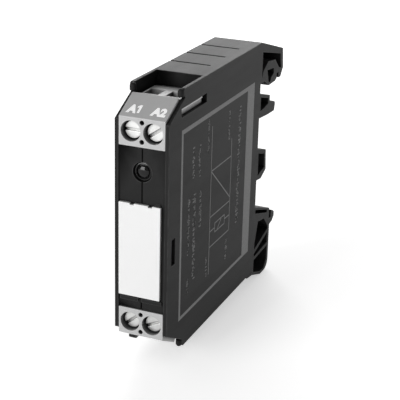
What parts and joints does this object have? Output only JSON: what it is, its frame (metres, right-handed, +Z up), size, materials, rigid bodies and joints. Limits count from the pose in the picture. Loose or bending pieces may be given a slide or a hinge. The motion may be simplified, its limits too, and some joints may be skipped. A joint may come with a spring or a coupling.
{
  "type": "industrial control relay",
  "caption": "Slim rail-mounted coupling relay: black two-part housing, grey screw terminal blocks at both ends, white marking plate, lamp window, rear hook and sprung foot.",
  "frame": {"origin": "centre of the rail seat: the plane where the rail's flange bears, at the rail's centre line and the housing's middle plane", "axes": "+Y from the front face towards the rail, +Z up along the front face towards terminals A1 and A2, +X to the right seen from the front"},
  "size_m": [0.0112, 0.0636, 0.0572],
  "materials": {
    "housing": "fine-textured black moulding",
    "terminal_grey": "light grey moulding",
    "screw_plate": "bright nickel-plated screw",
    "cage_plate": "zinc-plated pressed steel",
    "bar_tin": "tinned brass strip",
    "marking_white": "white writable plastic",
    "window_dark": "dark smoked lens",
    "lamp_red": "red tinted epoxy",
    "board_green": "green solder mask",
    "chip_black": "black moulded package",
    "capacitor_sleeve": "blue shrink sleeve",
    "resistor_body": "beige lacquer",
    "varistor_blue": "blue epoxy coating",
    "relay_black": "black moulded base",
    "bobbin_cream": "cream moulding",
    "winding_copper": "enamelled copper wire",
    "core_iron": "nickel-plated soft iron",
    "pin_tin": "tinned wire",
    "spring_bronze": "phosphor bronze strip",
    "contact_silver": "silver alloy buttons",
    "spring_steel": "spring steel wire"
  },
  "bodies": {
    "housing": {"left_shell": "housing", "right_shell": "housing", "upper_terminal_block": "terminal_grey", "lower_terminal_block": "terminal_grey", "marking_plate": "marking_white", "lamp_window": "window_dark", "lamp": "lamp_red", "circuit_board": "board_green", "rectifier": "chip_black", "capacitor": "capacitor_sleeve", "resistors": "resistor_body", "varistor": "varistor_blue", "relay_base": "relay_black", "coil_bobbin": "bobbin_cream", "coil_winding": "winding_copper", "coil_core": "core_iron", "yoke": "core_iron", "coil_pins": "pin_tin", "make_contact": "bar_tin", "back_contact": "bar_tin", "foot_spring": "spring_steel", "a1_bar": "bar_tin", "a2_bar": "bar_tin", "b1_bar": "bar_tin", "b2_bar": "bar_tin"},
    "a1_screw": {"a1_screw": "screw_plate"},
    "a1_cage": {"a1_cage": "cage_plate"},
    "a2_screw": {"a2_screw": "screw_plate"},
    "a2_cage": {"a2_cage": "cage_plate"},
    "b1_screw": {"b1_screw": "screw_plate"},
    "b1_cage": {"b1_cage": "cage_plate"},
    "b2_screw": {"b2_screw": "screw_plate"},
    "b2_cage": {"b2_cage": "cage_plate"},
    "armature": {"armature": "core_iron", "contact_spring": "spring_bronze", "moving_contact": "contact_silver", "armature_spring": "spring_bronze"},
    "rail_foot": {"rail_foot": "housing"}
  },
  "joints": [
    {"name": "a1_turn", "type": "hinge", "parent": "housing", "child": "a1_screw", "pos_m": [-0.0023, -0.057, 0.0195], "axis": [0, -1, 0], "range_deg": [0, 1800]},
    {"name": "a1_clamp", "type": "slide", "parent": "housing", "child": "a1_cage", "axis": [0, 1, 0], "range_m": [0, 0.00225]},
    {"name": "a2_turn", "type": "hinge", "parent": "housing", "child": "a2_screw", "pos_m": [0.0023, -0.057, 0.0195], "axis": [0, -1, 0], "range_deg": [0, 1800]},
    {"name": "a2_clamp", "type": "slide", "parent": "housing", "child": "a2_cage", "axis": [0, 1, 0], "range_m": [0, 0.00225]},
    {"name": "b1_turn", "type": "hinge", "parent": "housing", "child": "b1_screw", "pos_m": [-0.0023, -0.057, -0.0195], "axis": [0, -1, 0], "range_deg": [0, 1800]},
    {"name": "b1_clamp", "type": "slide", "parent": "housing", "child": "b1_cage", "axis": [0, 1, 0], "range_m": [0, 0.00225]},
    {"name": "b2_turn", "type": "hinge", "parent": "housing", "child": "b2_screw", "pos_m": [0.0023, -0.057, -0.0195], "axis": [0, -1, 0], "range_deg": [0, 1800]},
    {"name": "b2_clamp", "type": "slide", "parent": "housing", "child": "b2_cage", "axis": [0, 1, 0], "range_m": [0, 0.00225]},
    {"name": "armature_tilt", "type": "hinge", "parent": "housing", "child": "armature", "pos_m": [0.00055, -0.01955, 0.00615], "axis": [1, 0, 0], "range_deg": [0, 4.5], "stiffness_Nm_per_rad": 0.02, "springref_deg": -5.73},
    {"name": "foot_slide", "type": "slide", "parent": "housing", "child": "rail_foot", "axis": [0, 0, -1], "range_m": [0, 0.0022], "stiffness_N_per_m": 1500, "springref_m": -0.001, "deforming": ["foot_spring"]}
  ],
  "couplings": [
    {"joint": "a1_turn", "follows": "a1_clamp", "rad_per_m": 13963},
    {"joint": "a2_turn", "follows": "a2_clamp", "rad_per_m": 13963},
    {"joint": "b1_turn", "follows": "b1_clamp", "rad_per_m": 13963},
    {"joint": "b2_turn", "follows": "b2_clamp", "rad_per_m": 13963}
  ]
}
